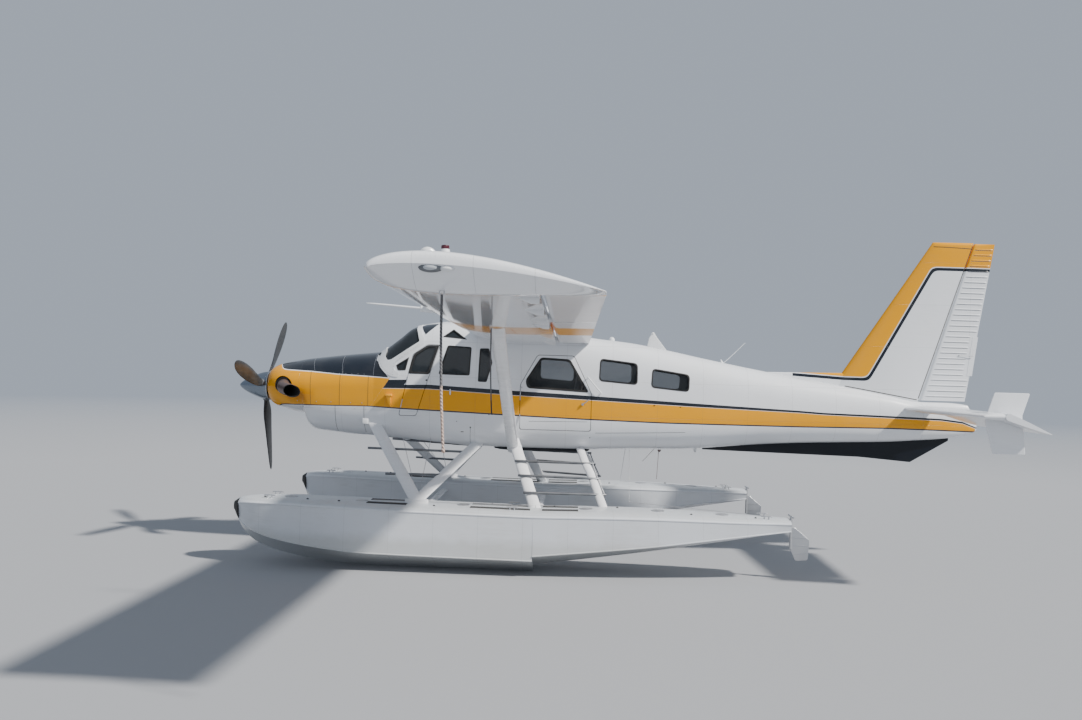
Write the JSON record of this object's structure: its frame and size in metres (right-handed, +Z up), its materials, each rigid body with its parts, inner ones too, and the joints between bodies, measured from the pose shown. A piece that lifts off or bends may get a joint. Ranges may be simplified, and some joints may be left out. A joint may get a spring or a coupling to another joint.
{
  "type": "single-engine turbine floatplane",
  "caption": "High-wing turbine floatplane with twin floats, hollow cabin, swept fin and tailplane finlets; turning propeller, doors, flaps and control surfaces.",
  "frame": {"origin": "middle of the length, on the centreline, at the height of the float keels, where the aeroplane stands on the ground", "axes": "+X aft, from the spinner to the rudder; +Y to starboard, along the wing; +Z up"},
  "size_m": [10.6524, 14.63, 4.488],
  "materials": {
    "hull_paint": "gloss",
    "yellow_paint": "gloss",
    "wing_paint": "gloss",
    "tail_paint": "gloss",
    "float_paint": "satin",
    "strut_paint": "gloss",
    "dark_paint": "satin",
    "ladder_metal": "satin",
    "engine_metal": "satin",
    "polished_metal": "polished",
    "blade_paint": "satin",
    "window_glass": "polished",
    "seat_fabric": "matte",
    "panel_plastic": "matte",
    "rope_fibre": "matte"
  },
  "bodies": {
    "airframe": {"cabin_shell": "hull_paint", "belly_panel": "dark_paint", "tail_cone": "hull_paint", "cowl_upper": "yellow_paint", "cowl_lower": "hull_paint", "engine": "engine_metal", "windscreen_left": "window_glass", "windscreen_right": "window_glass", "roof_window": "window_glass", "quarter_window_left": "window_glass", "quarter_window_right": "window_glass", "upper_window_left": "window_glass", "upper_window_right": "window_glass", "side_window_1_left": "window_glass", "side_window_1_right": "window_glass", "side_window_2_left": "window_glass", "side_window_2_right": "window_glass", "side_window_3_left": "window_glass", "side_window_3_right": "window_glass", "side_window_4_left": "window_glass", "side_window_4_right": "window_glass", "mid_window_right": "window_glass", "seats": "seat_fabric", "instrument_panel": "panel_plastic", "wing_left": "wing_paint", "wing_right": "wing_paint", "wing_strut_left": "strut_paint", "wing_strut_right": "strut_paint", "fin": "tail_paint", "ventral_fin": "dark_paint", "tailplane": "tail_paint", "float_left": "float_paint", "float_right": "float_paint", "front_strut_left": "strut_paint", "front_strut_right": "strut_paint", "rear_strut_left": "strut_paint", "rear_strut_right": "strut_paint", "ladder_left": "ladder_metal", "ladder_right": "ladder_metal", "spreader_front": "strut_paint", "spreader_rear": "strut_paint", "rope_outer": "rope_fibre", "rope_inner": "rope_fibre"},
    "propeller": {"spinner": "polished_metal", "prop_blades": "blade_paint"},
    "crew_door_left": {"crew_door_left": "hull_paint", "crew_door_glass_left": "window_glass"},
    "crew_door_right": {"crew_door_right": "hull_paint", "crew_door_glass_right": "window_glass"},
    "cabin_door": {"cabin_door": "hull_paint", "cabin_door_glass": "window_glass"},
    "flap_left": {"flap_left": "wing_paint"},
    "flap_right": {"flap_right": "wing_paint"},
    "aileron_left": {"aileron_left": "wing_paint"},
    "aileron_right": {"aileron_right": "wing_paint"},
    "elevator": {"elevator": "tail_paint"},
    "rudder": {"rudder": "tail_paint"},
    "water_rudder_left": {"water_rudder_left": "ladder_metal"},
    "water_rudder_right": {"water_rudder_right": "ladder_metal"}
  },
  "joints": [
    {"name": "propeller_spin", "type": "hinge", "parent": "airframe", "child": "propeller", "pos_m": [-5.008, 0, 2.2], "axis": [1, 0, 0], "continuous": true},
    {"name": "crew_door_left_hinge", "type": "hinge", "parent": "airframe", "child": "crew_door_left", "pos_m": [-2.8163, -0.613, 2.2782], "axis": [-0.2041, 0, -0.979], "range_deg": [0, 75]},
    {"name": "crew_door_right_hinge", "type": "hinge", "parent": "airframe", "child": "crew_door_right", "pos_m": [-2.8163, 0.613, 2.2782], "axis": [0.2041, 0, 0.979], "range_deg": [0, 75]},
    {"name": "cabin_door_hinge", "type": "hinge", "parent": "airframe", "child": "cabin_door", "pos_m": [-1.24665, -0.618, 2.2], "axis": [0, 0, -1], "range_deg": [0, 80]},
    {"name": "flap_left_hinge", "type": "hinge", "parent": "airframe", "child": "flap_left", "pos_m": [-0.7012, -2.63, 3.0066], "axis": [0, 0.9998, -0.0174], "range_deg": [0, 35]},
    {"name": "flap_right_hinge", "type": "hinge", "parent": "airframe", "child": "flap_right", "pos_m": [-0.7012, 2.63, 3.0066], "axis": [0, 0.9998, 0.0174], "range_deg": [0, 35]},
    {"name": "aileron_left_hinge", "type": "hinge", "parent": "airframe", "child": "aileron_left", "pos_m": [-0.7012, -5.83, 3.0625], "axis": [0, 0.9998, -0.0174], "range_deg": [-20, 20]},
    {"name": "aileron_right_hinge", "type": "hinge", "parent": "airframe", "child": "aileron_right", "pos_m": [-0.7012, 5.83, 3.0625], "axis": [0, 0.9998, 0.0174], "range_deg": [-20, 20]},
    {"name": "elevator_hinge", "type": "hinge", "parent": "airframe", "child": "elevator", "pos_m": [4.4738, 0, 2.14], "axis": [0, -1, 0], "range_deg": [0, 44]},
    {"name": "rudder_hinge", "type": "hinge", "parent": "airframe", "child": "rudder", "pos_m": [4.6978, 0, 3.336], "axis": [0.3021, 0, 0.9533], "range_deg": [-25, 25]},
    {"name": "water_rudder_left_pivot", "type": "hinge", "parent": "airframe", "child": "water_rudder_left", "pos_m": [2.2378, -1.49, 0.6], "axis": [0, 0, 1], "range_deg": [-30, 30]},
    {"name": "water_rudder_right_pivot", "type": "hinge", "parent": "airframe", "child": "water_rudder_right", "pos_m": [2.2378, 1.49, 0.6], "axis": [0, 0, 1], "range_deg": [-30, 30]}
  ],
  "couplings": [
    {"joint": "flap_right_hinge", "follows": "flap_left_hinge", "ratio": 1},
    {"joint": "aileron_right_hinge", "follows": "aileron_left_hinge", "ratio": -1},
    {"joint": "water_rudder_left_pivot", "follows": "rudder_hinge", "ratio": 1.2},
    {"joint": "water_rudder_right_pivot", "follows": "rudder_hinge", "ratio": 1.2}
  ]
}
